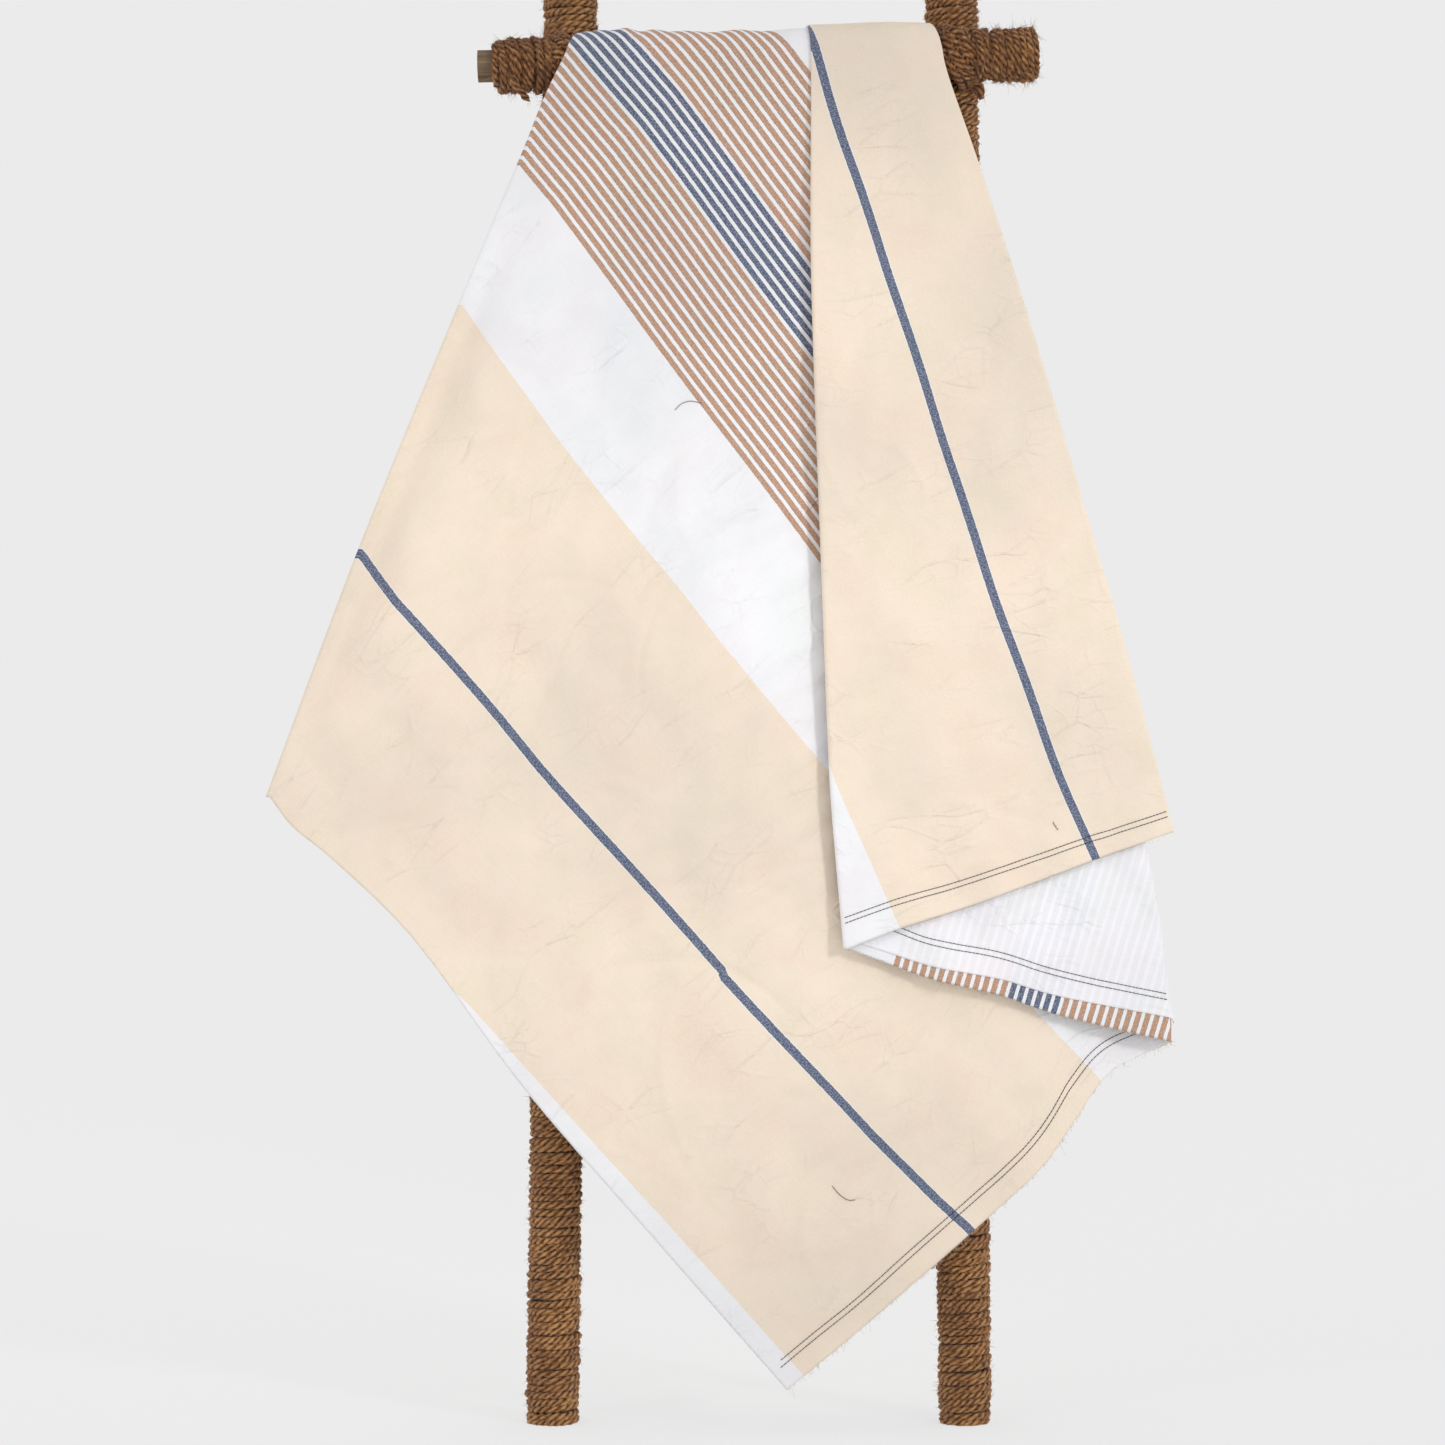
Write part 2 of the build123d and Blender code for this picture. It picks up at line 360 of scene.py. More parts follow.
def cloth_material(name, lining):
    """Plain-woven cotton: the striped face, or the white lining that the stripes faintly show through."""
    material, tree, shader = new_material(name, {
        "Roughness": 0.88, "Sheen Weight": 0.12, "Sheen Roughness": 0.5, "Specular IOR Level": 0.25,
    })
    uv = cloth_uv(tree)
    split = tree.nodes.new("ShaderNodeSeparateXYZ")
    tree.links.new(uv, split.inputs[0])
    waver = math_node(tree, "SUBTRACT", streaks(tree, uv, (30.0, 260.0, 1.0), 2.0), 0.5)
    across = math_node(tree, "ADD", split.outputs[0], math_node(tree, "MULTIPLY", waver, YARN_WAVER))
    pattern = cloth_pattern(tree, across)
    warp = streaks(tree, uv, (1500.0, 30.0, 1.0), 2.0)
    weft = streaks(tree, uv, (30.0, 1500.0, 1.0), 2.0)
    yarn = math_node(tree, "MULTIPLY", math_node(tree, "ADD", warp, weft), 0.5)
    if lining:
        colour = mix_colour(tree, 0.09, LINING_WHITE, pattern)
    else:
        fleck = streaks(tree, uv, (420.0, 1000.0, 1.0), 1.0)
        share = math_node(tree, "MULTIPLY", math_node(tree, "GREATER_THAN", fleck, 0.52), 0.22)
        colour = mix_colour(tree, share, pattern, WHITE)
    # Broad greyish patches: partly painted shade for the drape's unevenly lit areas, partly faint smears in
    # the cotton.
    shade_and_smear = streaks(tree, uv, (3.4, 2.6, 1.0), 4.0)
    colour = tinted(tree, colour, 1.0, shade_and_smear, [
        (0.38, (0.89, 0.895, 0.905)), (0.50, (0.96, 0.955, 0.955)), (0.62, (1.0, 1.0, 1.0)),
    ])
    faded = streaks(tree, uv, (13.0, 11.0, 1.0))
    colour = tinted(tree, colour, 0.8, faded, [
        (0.40, (1.0, 0.975, 0.965)), (0.50, (1.0, 1.0, 1.0)), (0.62, (0.965, 0.98, 0.955)),
    ])
    colour = tinted(tree, colour, 0.7, yarn, [(0.3, (0.92, 0.92, 0.92)), (0.7, (1.0, 1.0, 1.0))])
    height = crease_lines(tree, uv, (13.0, 30.0, 1.0), 0.055, 0.46, 0.62)
    short_creases = crease_lines(tree, uv, (30.0, 52.0, 1.0), 0.08, 0.50, 0.64)
    crumple = streaks(tree, uv, (38.0, 60.0, 1.0), 3.0, 0.5)
    for layer, amount in ((short_creases, 0.6), (crumple, 2.6), (yarn, 0.28)):
        height = math_node(tree, "ADD", height, math_node(tree, "MULTIPLY", layer, amount))
    surface(tree, shader, colour, height, 0.85, 0.0008)
    return material


def rope_material():
    """Twisted coir: brown fibres, lighter on the strands' crowns, with nearly black painted shade between
    them.
    """
    sockets = {"Roughness": 0.9, "Specular IOR Level": 0.2, "Sheen Weight": 0.15}
    material, tree, shader = new_material("coir_rope", sockets)
    tone = tree.nodes.new("ShaderNodeAttribute")
    tone.attribute_name = "tone"
    fibre = streaks(tree, cloth_uv(tree), (160.0, 34.0, 1.0), 5.0, 0.7)
    patch = noise_node(tree, object_place(tree), 22.0)
    # From the tone: nearly black painted shade in the crevices up to the coir's own brown on the crowns.
    colour = ramp_node(tree, tone.outputs["Fac"], [
        (0.0, linear(74, 44, 25)), (0.35, linear(130, 86, 50)),
        (0.75, linear(172, 122, 76)), (1.0, linear(200, 154, 104)),
    ])
    colour = tinted(tree, colour, 0.85, fibre, [
        (0.28, (0.42, 0.38, 0.34)), (0.5, (0.95, 0.93, 0.9)), (0.72, (1.5, 1.45, 1.35)),
    ])
    colour = tinted(tree, colour, 0.8, patch, [
        (0.35, (0.74, 0.66, 0.60)), (0.5, (0.95, 0.9, 0.82)), (0.65, (1.15, 1.12, 1.02)),
    ])
    surface(tree, shader, colour, fibre, 0.9, 0.0012)
    return material


def wood_material():
    """Weathered bare pole: grey-brown, with fine grain along it."""
    material, tree, shader = new_material("weathered_pole", {"Roughness": 0.82})
    place = object_place(tree)
    grain = streaks(tree, place, (9.0, 160.0, 160.0), 5.0, 0.65)
    colour = ramp_node(tree, grain, [
        (0.25, linear(64, 48, 36)), (0.5, linear(122, 100, 78)), (0.75, linear(160, 138, 110)),
    ])
    stain = noise_node(tree, place, 30.0)
    colour = tinted(tree, colour, 0.9, stain, [(0.35, (0.7, 0.68, 0.66)), (0.65, (1.05, 1.03, 1.0))])
    surface(tree, shader, colour, grain, 0.8, 0.001)
    return material


def thread_material(name, colour):
    material, tree, shader = new_material(name, {"Roughness": 0.7})
    fuzz = noise_node(tree, object_place(tree), 900.0, 2.0)
    shade = ramp_node(tree, fuzz, [(0.3, tuple(0.75 * c for c in colour)), (0.7, colour)])
    tree.links.new(shade, shader.inputs["Base Color"])
    return material


FACE = cloth_material("striped_cotton_weave", lining=False)
LINING = cloth_material("white_lining_weave", lining=True)
COIR = rope_material()
POLE = wood_material()
STITCH = thread_material("navy_thread", linear(46, 50, 64))
STRAY = thread_material("stray_thread", linear(120, 100, 84))
LOOSE = thread_material("loose_yarn", linear(226, 214, 196))

# ---------------------------------------------------------------- the quilt's drape
# The drape is laid out as it is seen from the front, as (x, z) points in metres: x from midway between the
# posts, z from the floor, at the posts' distance. place_front then puts each point at its own depth.
LEFT_TIP = (-0.511, 0.650)
CORNER = (0.027, 0.033)
RIGHT_TIP = (0.427, 0.395)
TOP_Z = 1.431
TOP_LEFT = (-0.2025, 1.4230)
TOP_RIGHT = (0.187, 1.4315)
RIGHT_FOLD_TOP = (0.150, 1.4310)
FLAP_FOLD_TOP = (0.053, 1.4290)
FLAP_LEFT_LOW = (0.090, 0.492)
FLAP_RIGHT_LOW = (0.427, 0.613)

LEFT_FOLD = [LEFT_TIP, (-0.415, 0.907), (-0.310, 1.164), (-0.249, 1.312), (-0.225, 1.375), TOP_LEFT]
SELVEDGE = [LEFT_TIP, (-0.487, 0.619), (-0.448, 0.587), (-0.384, 0.527), (-0.338, 0.472), (-0.245, 0.345),
            (-0.110, 0.189), CORNER]
MAIN_HEM = [CORNER, (0.113, 0.104), (0.220, 0.198), (0.290, 0.262), (0.327, 0.314), (0.365, 0.365),
            RIGHT_TIP]
RIGHT_FOLD = [RIGHT_TIP, (0.422, 0.439), (0.396, 0.602), (0.319, 0.909), (0.233, 1.188), RIGHT_FOLD_TOP]
FOLDED_HEM = [RIGHT_TIP, (0.311, 0.423), (0.249, 0.444), (0.181, 0.460), (0.131, 0.478), (0.090, 0.493)]
FLAP_FOLD = [FLAP_LEFT_LOW, (0.082, 0.584), (0.075, 0.678), (0.067, 0.884), (0.057, 1.167), FLAP_FOLD_TOP]
FLAP_HEM = [FLAP_LEFT_LOW, (0.147, 0.514), (0.197, 0.530), (0.238, 0.544), (0.295, 0.565), (0.353, 0.587),
            (0.399, 0.603), FLAP_RIGHT_LOW]
FLAP_EDGE = [FLAP_RIGHT_LOW, (0.382, 0.787), (0.332, 0.959), (0.280, 1.136), (0.225, 1.308), (0.194, 1.400),
             TOP_RIGHT]
FLAP_LINE = [(0.408, 0.450), (0.3475, 0.588), (0.3126, 0.668), (0.279, 0.761), (0.244, 0.855),
             (0.2023, 0.980), (0.162, 1.1045), (0.124, 1.219), (0.082, 1.344), (0.056, TOP_Z)]

FRONT_ROWS = 300
SADDLE_ROWS = 26
BACK_ROWS = 60
FOLD_COLUMNS = 8
FOLD_REACH = 0.004
SELVEDGE_COLUMNS = 130
HEM_COLUMNS = 100
FOLDED_COLUMNS = 60
FLAP_COLUMNS = 90
LAYER_GAP = 0.0075  # from one layer of the front drop to the next
TOP_DEPTH = 0.068  # from the posts' middle to the front drop's main layer, before any swell
DROP_SWELL = 0.008
STRIPE_ALONG = np.array([-0.670, 0.743])
STRIPE_ACROSS = np.array([0.743, 0.670])
FOLDED_HEM_WAY = np.array([-0.958, 0.288])
FLAP_SQUEEZE = (0.968, 0.947)  # sheet distance for a distance across or up the flap, which hangs at a slant
UNEVEN = 0.0010  # how far the stripes wander from their lines


def coons(bottom, left, right):
    """A grid of points between three curves and a straight top, rows from bottom to top."""
    rows, columns = len(left), len(bottom)
    top = np.linspace(left[-1], right[-1], columns)
    v = np.linspace(0, 1, rows)[:, None, None]
    u = np.linspace(0, 1, columns)[None, :, None]
    across = (1 - v) * bottom[None] + v * top[None]
    along = (1 - u) * left[:, None] + u * right[:, None]
    corners = (1 - v) * ((1 - u) * bottom[0] + u * bottom[-1]) + v * ((1 - u) * top[0] + u * top[-1])
    return across + along - corners


def x_at(outline, z):
    """The x of an outline, whose points climb, at a height."""
    return np.interp(z, [q[1] for q in outline], [q[0] for q in outline])


def z_at(outline, x):
    """The height of an outline, whose points run to the right, at an x."""
    return np.interp(x, [q[0] for q in outline], [q[1] for q in outline])


def main_uv(p):
    """Sheet coordinates on the main panel: the stripes fan out towards the top, and the blue line bows."""
    rel = p - np.array(CORNER)
    along = rel @ STRIPE_ALONG
    across = rel @ STRIPE_ACROSS + UNEVEN * wave_noise(p[..., 0], p[..., 1], 0.24, 51)
    fan = np.interp(along, [0.0, 0.05, 0.12, 0.45, 0.62, 1.08, 1.25],
                    [-0.018, -0.019, -0.022, -0.013, -0.010, 0.033, 0.040])
    s = across - fan * smooth_step(across, 0.25, 0.47)
    s = s + 0.018 * smooth_step(along, 0.50, 0.68) * (1 - smooth_step(across, 0.03, 0.16))
    bow = np.interp(along, [0.0, 0.04, 0.14, 0.25, 0.3655, 0.3665, 0.50, 0.65, 0.72, 0.88, 0.94],
                    [-0.002, 0.002, 0.008, 0.010, 0.0117, 0.0086, 0.0095, 0.008, 0.0055, 0.0045, -0.002])
    s = s + bow * window(across, 0.02, 0.15, 0.33, 0.45)
    nudge = np.interp(along, [0.46, 0.60, 0.69, 0.79, 0.89, 1.0, 1.10],
                      [0.003, 0.0, 0.0014, 0.0063, 0.0098, 0.0087, 0.005])
    s = s + nudge * window(across, 0.36, 0.46, 0.52, 0.60)
    dip = np.interp(across, [0.0, 0.254, 0.39, 0.416, 0.48, 0.538],
                    [0.0, -0.009, -0.006, 0.008, 0.022, 0.0])
    t = along - dip * np.exp(-np.clip(along, 0, None) / 0.12)
    return np.stack([s, t], -1)


def folded_uv(p):
    """Sheet coordinates on the part folded back, whose hem runs up to the left."""
    rel = p - np.array(RIGHT_TIP)
    s = STRIPES_START + rel @ FOLDED_HEM_WAY
    t = (p[..., 1] - z_at(FOLDED_HEM[::-1], p[..., 0])) * -FOLDED_HEM_WAY[0]
    return np.stack([s, t], -1)


def flap_uv(p):
    """Sheet coordinates on the flap, measured out from its blue line."""
    line_x = x_at(spline(FLAP_LINE, 200), p[..., 1])
    middle = SHEET_WIDTH - BORDER - CREAM_WIDTH / 2
    uneven = UNEVEN * wave_noise(p[..., 0], p[..., 1], 0.24, 52)
    s = middle + (p[..., 0] - line_x) * FLAP_SQUEEZE[0] + uneven
    t = (p[..., 1] - z_at(FLAP_HEM, p[..., 0])) * FLAP_SQUEEZE[1]
    return np.stack([s, t], -1)


CREASES = 64


def crease_field(x, z):
    """Pressed creases: narrow ridges scattered over the drop, most of them across the stripes."""
    r = np.random.default_rng(17)
    total = np.zeros_like(x)
    for _ in range(CREASES):
        cx, cz = r.uniform(-0.45, 0.42), r.uniform(0.15, 1.38)
        turn = r.normal(0.72, 0.35) if cx < 0.08 else r.normal(0.25, 0.6)
        length, width = r.uniform(0.035, 0.13), r.uniform(0.004, 0.009)
        height = r.uniform(0.0009, 0.0024) * r.choice([-1, 1])
        run = (x - cx) * math.cos(turn) + (z - cz) * math.sin(turn)
        off = (z - cz) * math.cos(turn) - (x - cx) * math.sin(turn) + 0.35 * run * run / length
        total = total + height * np.exp(-((run / length) ** 2) - (off / width) ** 2)
    return total


def undulation(p):
    """How far the front drop swells towards the viewer, in metres, by place."""
    x, z = p[..., 0], p[..., 1]
    along = (p - np.array(CORNER)) @ STRIPE_ALONG
    across = (p - np.array(CORNER)) @ STRIPE_ACROSS
    low = smooth_step(TOP_Z - z, 0.02, 0.35)
    below = smooth_step(TOP_Z - z, 0.0, 0.10)
    broad = 0.0048 * wave_noise(x, z, 0.62, 3) + 0.0036 * wave_noise(x, z, 0.24, 5)
    drawn = 0.0032 * np.sin(across * 17.0 + 0.8 * np.sin(along * 5.0)) * smooth_step(along, 0.0, 0.4)
    small = 0.0020 * wave_noise(across * 2.4, along * 0.9, 0.16, 9)
    small = small + 0.0013 * wave_noise(across, along * 2.5, 0.09, 21)
    inside = (x - x_at(LEFT_FOLD, z)) * 0.93
    along_fold = smooth_step(z, 0.66, 0.82) * (1 - 0.6 * smooth_step(z, 1.12, 1.30))
    valley = -0.0110 * bell(inside, 0.012, 0.018) * along_fold
    ridge = 0.0080 * bell(inside, 0.058, 0.028) * along_fold
    slope = 0.012 * smooth_step(0.95 - z, 0.0, 0.7)
    rolls = 0.0022 * np.sin(z * 70 + x * 9) * smooth_step(z, 1.24, 1.34) * smooth_step(x, 0.02, 0.08)
    swell = DROP_SWELL * smooth_step(TOP_Z - z, 0.0, 0.16)
    near_top = below * (valley + ridge + crease_field(x, z) + rolls)
    return swell + low * (broad + drawn + small) + near_top + slope


def front_patches():
    """The front drop's layers in order along a row: name, grid of (x, z) points, layer, UV function."""
    folds = (LEFT_FOLD, RIGHT_FOLD, FLAP_FOLD, FLAP_EDGE)
    left_fold, right_fold, flap_fold, flap_edge = (spline(fold, FRONT_ROWS) for fold in folds)
    hem = spline(MAIN_HEM, HEM_COLUMNS + 1)
    bottom = np.vstack([spline(SELVEDGE, SELVEDGE_COLUMNS), hem[1:]])
    tuck = left_fold + np.linspace(0.075, 0.030, FRONT_ROWS)[:, None] * np.array([1.0, 0.12])
    under = flap_edge + np.linspace(0.110, 0.030, FRONT_ROWS)[:, None] * np.array([-0.94, -0.33])
    return [
        ("tuck", coons(np.linspace(tuck[0], left_fold[0], 9), tuck, left_fold), -1, main_uv),
        ("main", coons(bottom, left_fold, right_fold), 0, main_uv),
        ("folded", coons(spline(FOLDED_HEM, FOLDED_COLUMNS), right_fold, flap_fold), 1, folded_uv),
        ("flap", coons(spline(FLAP_HEM, FLAP_COLUMNS), flap_fold, flap_edge), 2, flap_uv),
        ("under", coons(np.linspace(flap_edge[0], under[0], 14), flap_edge, under), 1.45, None),
    ]


def behind_flap(x, z):
    """How far the main panel lies back behind the flap and at its own lower right corner, in metres."""
    curl = bell(x, 0.400, 0.075) * bell(z, 0.400, 0.075)
    hidden = smooth_step(x - x_at(FLAP_FOLD, z), -0.030, 0.012) * smooth_step(TOP_Z - z, 0.05, 0.40)
    return 0.014 * curl + 0.006 * hidden * smooth_step(z, 0.34, 0.48)


def roll_layer(name, before, p, depth, uv):
    """The rolled edge between one layer and the next, whose name and arrays are given."""
    side = 1 if name in ("folded", "under") else -1
    angle = np.linspace(0, math.pi, FOLD_COLUMNS + 2)[1:-1]
    start, start_uv = before[2][:, -1:], before[3][:, -1:]
    half = (depth[:, :1] - start) / 2
    roll = np.repeat(p[:, :1], FOLD_COLUMNS, 1)
    roll[..., 0] += side * np.minimum(np.abs(half), FOLD_REACH) * np.sin(angle)
    share = (angle / math.pi)[None, :, None]
    return "roll", roll, start + half * (1 - np.cos(angle)), start_uv * (1 - share) + uv[:, :1] * share


def drape_front():
    """The whole front drop, in rows from hem to rail: seen points, depths towards the viewer, and UVs."""
    lift = np.linspace(0, 1, FRONT_ROWS)[:, None]
    gap = LAYER_GAP * (1 - 0.78 * smooth_step(lift, 0.75, 1.0))
    layers = []
    for name, p, layer, to_uv in front_patches():
        depth = TOP_DEPTH + undulation(p) + layer * gap
        if name == "main":
            depth = depth - behind_flap(p[..., 0], p[..., 1])
        if to_uv is None:
            away = np.linalg.norm(p - p[:, :1], axis=-1)
            uv = layers[-1][3][:, -1:] + np.stack([away, 0 * away], -1)
        else:
            uv = to_uv(p)
        if layers:
            layers.append(roll_layer(name, layers[-1], p, depth, uv))
        layers.append((name, p, depth, uv))
    names, points, depths, uvs = zip(*layers)
    columns = [q.shape[1] for q in points]
    return names, columns, np.concatenate(points, 1), np.concatenate(depths, 1), np.concatenate(uvs, 1)


def place_front(points, depths):
    """Where points lie that the camera sees at these places and that have these depths."""
    share = (CAMERA_AWAY - depths) / CAMERA_AWAY
    x = MID_X + VIEW_X + (points[..., 0] - VIEW_X) * share
    z = VIEW_Z + (points[..., 1] - VIEW_Z) * share
    return np.stack([x, POST_Y - depths, z], -1)


SADDLE_Y = RAIL_Y - 0.0045
SADDLE_RISE = 0.002
SADDLE_RADIUS = 0.0265
SADDLE_HALF = 0.160
# Small rises along the top of the rail: x from the middle, width and height
CROWN_PUFFS = ((-0.175, 0.030, 0.0040), (-0.147, 0.011, 0.0045), (-0.118, 0.013, 0.0040),
               (0.125, 0.050, 0.0018))
CROWN_SHARE = 0.93  # how wide the cloth still is on top of the rail, as a share of its width in front
BACK_DEPTH = 0.041


def saddle_line(count):
    """The path over the rail, as y and height above its axis: up, round the top and down behind."""
    r = SADDLE_RADIUS
    angles = np.radians([12, 35, 60, 90, 122])
    points = [(SADDLE_Y - r * math.cos(a), SADDLE_RISE + r * math.sin(a)) for a in angles]
    points += [(SADDLE_Y + 0.045, SADDLE_RISE + 0.006), (POST_Y + BACK_DEPTH - 0.004, SADDLE_RISE - 0.018)]
    points += [(POST_Y + BACK_DEPTH, SADDLE_RISE - 0.045)]
    return spline(points, count)


# Where the layers' outer columns end behind the rail, as (x, z). Each layer starts where the last one ends.
LAYERS = ("tuck", "main", "folded", "flap", "under")
BACK_CORNERS = [(-0.330, 0.640), (-0.400, 0.600), (0.350, 0.560), (0.050, 0.330), (0.330, 0.640),
                (0.230, 0.600)]
BACK_ENDS = dict(zip(LAYERS, zip(BACK_CORNERS, BACK_CORNERS[1:])))
BACK_HEM = [(-0.400, 0.600), (-0.186, 0.270), (0.020, 0.120), (0.184, 0.152), (0.350, 0.560)]


def by_column(names, columns, ends):
    """Values for every column, from those at each layer's two ends. A roll joins its neighbours."""
    known, values, start = [], [], 0
    for name, count in zip(names, columns):
        if name != "roll":
            known.append(start + np.arange(count))
            values.append(np.linspace(*ends[name], count).reshape(count, -1))
        start += count
    known, values = np.concatenate(known), np.concatenate(values)
    return np.stack([np.interp(np.arange(start), known, value) for value in values.T], -1)


def back_ends(names, columns):
    """Where each column of the back drop ends, as (x, z): the layers spread and end in a blunt point."""
    ends = by_column(names, columns, BACK_ENDS)
    main = np.repeat([name == "main" for name in names], columns)
    ends[main, 1] = z_at(BACK_HEM, ends[main, 0])
    return ends


def saddle_rows(start, layer_lift):
    """Rows over the rail, from the front drop's last row on."""
    path = saddle_line(SADDLE_ROWS)
    tangent = unit(np.gradient(path, axis=0))
    outward = np.stack([-tangent[:, 1], tangent[:, 0]], -1)
    off = start[:, 0] - MID_X
    back_share = SADDLE_HALF / abs(off).max()
    crown_row = int(np.argmax(path[:, 1]))
    stops = [0, crown_row, crown_row + 4, SADDLE_ROWS]
    axis_z = np.array([bar_axis("top_rail", x) for x in start[:, 0]])
    puff = sum(rise * bell(off, at, wide) for at, wide, rise in CROWN_PUFFS)
    rows = []
    for k in range(1, SADDLE_ROWS):
        x = MID_X + off * np.interp(k, stops, [1.0, CROWN_SHARE, back_share, back_share])
        ripple = 0.0010 * np.sin(x * 60 + 3 * np.sin(x * 21))
        lifted = 0.0012 + layer_lift + ripple + puff * bell(k, crown_row, 5)
        y = path[k, 0] + outward[k, 0] * lifted
        z = axis_z + path[k, 1] + outward[k, 1] * lifted
        rows.append(np.stack([x, y, z], -1))
    return np.array(rows)


def back_rows(begin, ends, layer):
    """Rows down behind the rail, from the saddle's last row to where each column ends."""
    rows = []
    for k in range(1, BACK_ROWS + 1):
        share = k / BACK_ROWS
        x = begin[:, 0] + (MID_X + ends[:, 0] - begin[:, 0]) * share ** 0.92
        z = begin[:, 2] + (ends[:, 1] - begin[:, 2]) * share
        spread = float(smooth_step(np.array(share), 0.0, 0.3))
        fold = 0.0055 * np.sin((x - MID_X) * 62 / (0.55 + share) + 1.2 * np.sin(z * 6)) * spread
        fold = fold + 0.003 * wave_noise(x, z, 0.3, 31) * spread
        depth = BACK_DEPTH + 0.003 + 0.0055 * spread + fold + layer * (0.0022 + 0.0085 * spread)
        rows.append(np.stack([x, POST_Y + depth, z], -1))
    return np.array(rows)


def drape():
    """The whole quilt as one grid: rows from the front hem over the rail to the back hem."""
    names, columns, points, depths, uvs = drape_front()
    front = place_front(points, depths)
    layer_lift = depths[-1] - (TOP_DEPTH + undulation(points[-1]))
    saddle = saddle_rows(front[-1], layer_lift)
    layer = layer_lift / max(layer_lift.max(), 1e-6) * 2
    back = back_rows(saddle[-1], back_ends(names, columns), layer)
    grid = np.concatenate([front, saddle, back])
    return names, columns, grid, extend_uv(names, columns, grid, uvs)


# For each layer: which way is up in sheet coordinates, first in front of the rail and then behind it, and
# which side of the cloth faces out
MAIN_UP = (0.67, 0.743, 0.30, 0.954)
FLAP_UP = (0.33, 0.947, -0.08, 0.997)
UP_ON_SHEET = {
    "tuck": (*MAIN_UP, -1.0),
    "main": (*MAIN_UP, 1.0),
    "folded": (0.288, 0.958, 0.10, 0.995, -1.0),
    "flap": (*FLAP_UP, 1.0),
    "under": (*FLAP_UP, 1.0),
}


def extend_uv(names, columns, grid, uvs):
    """Sheet coordinates past the rail go on in the direction that is up on each layer."""
    ways = by_column(names, columns, {name: (way, way) for name, way in UP_ON_SHEET.items()})
    rows = [uvs[-1]]
    for k in range(len(uvs), len(grid)):
        behind = min((k - len(uvs)) / SADDLE_ROWS, 1.0)
        up = ways[:, :2] * (1 - behind) + ways[:, 2:4] * behind
        sideways = np.stack([up[:, 1], -up[:, 0]], -1) * ways[:, 4:]
        step = grid[k] - grid[k - 1]
        climb = np.hypot(step[:, 1], step[:, 2])[:, None]
        rows.append(rows[-1] + up * climb + sideways * step[:, :1])
    return np.concatenate([uvs, np.array(rows[1:])], 0)


def grid_normals(grid):
    """Unit normals of a grid, towards the face side."""
    across = np.gradient(grid, axis=1)
    up = np.gradient(grid, axis=0)
    normal = np.cross(across, up)
    length = np.linalg.norm(normal, axis=-1)[..., None]
    return normal / np.maximum(length, 1e-9)


PLY_OFFSET = 0.00040
PLY_THICKNESS = 0.00040
BLEND_ROWS = 16


def shortened(grid, uvs, short):
    """A copy of the grid whose first rows are drawn up the columns, so that it ends short of the hem."""
    new_grid, new_uvs = grid.copy(), uvs.copy()
    hem_t = uvs[:BLEND_ROWS, :, 1]
    for column in range(grid.shape[1]):
        rise = hem_t[:, column] - hem_t[0, column]
        if rise[-1] <= short[column]:
            continue
        first = np.interp(short[column], rise, np.arange(BLEND_ROWS))
        for row in range(BLEND_ROWS):
            at = first + (BLEND_ROWS - first) * row / BLEND_ROWS
            low_row, share = int(at), at - int(at)
            for new, old in ((new_grid, grid), (new_uvs, uvs)):
                new[row, column] = old[low_row, column] * (1 - share) + old[low_row + 1, column] * share
    return new_grid, new_uvs


def cloth_piece(name, grid, uvs, offset, material, node):
    """One ply of the quilt as a thin closed sheet, offset from the middle of the two."""
    part = grid + grid_normals(grid) * offset
    rows, columns = part.shape[:2]
    obj = new_mesh(name, part.reshape(-1, 3), grid_quads(rows, columns), uvs.reshape(-1, 2), None, material)
    skin = obj.modifiers.new("ply", "SOLIDIFY")
    skin.thickness = PLY_THICKNESS
    skin.offset = 0.0
    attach(obj, "quilt")
    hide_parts(node)
    return obj


# How far the lining stops short of the raw hem, at each layer's first and last column
LINING_SHORT = {"tuck": (0.0, 0.0), "main": (0.012, 0.012), "folded": (0.024, 0.009),
                "flap": (0.009, 0.009), "under": (0.009, 0.009)}

NAMES, COLUMNS, GRID, UVS = drape()
LINING_GRID, LINING_UVS = shortened(GRID, UVS, by_column(NAMES, COLUMNS, LINING_SHORT)[:, 0])
quilt_face = cloth_piece("striped_face_cloth", GRID, UVS, PLY_OFFSET, FACE, "quilt_face")
quilt_lining = cloth_piece("white_lining_cloth", LINING_GRID, LINING_UVS, -PLY_OFFSET, LINING,
                           "quilt_lining")


# ---------------------------------------------------------------- rope
LAY = 0.024  # the length of rope in which a strand goes once round
ROPE_STEP = 0.0023
STRANDS = 3
RING = 3 * STRANDS  # each strand has two points on its crown and one in the crevice beside it
CREVICE = 0.70  # the crevices' distance from the middle, as a share of the crowns'
CROWN_ANGLE = math.radians(20)


def around(side, other, angles):
    """Directions at some angles round a path, from two directions off it at each point."""
    return np.cos(angles)[..., None] * side[:, None] + np.sin(angles)[..., None] * other[:, None]


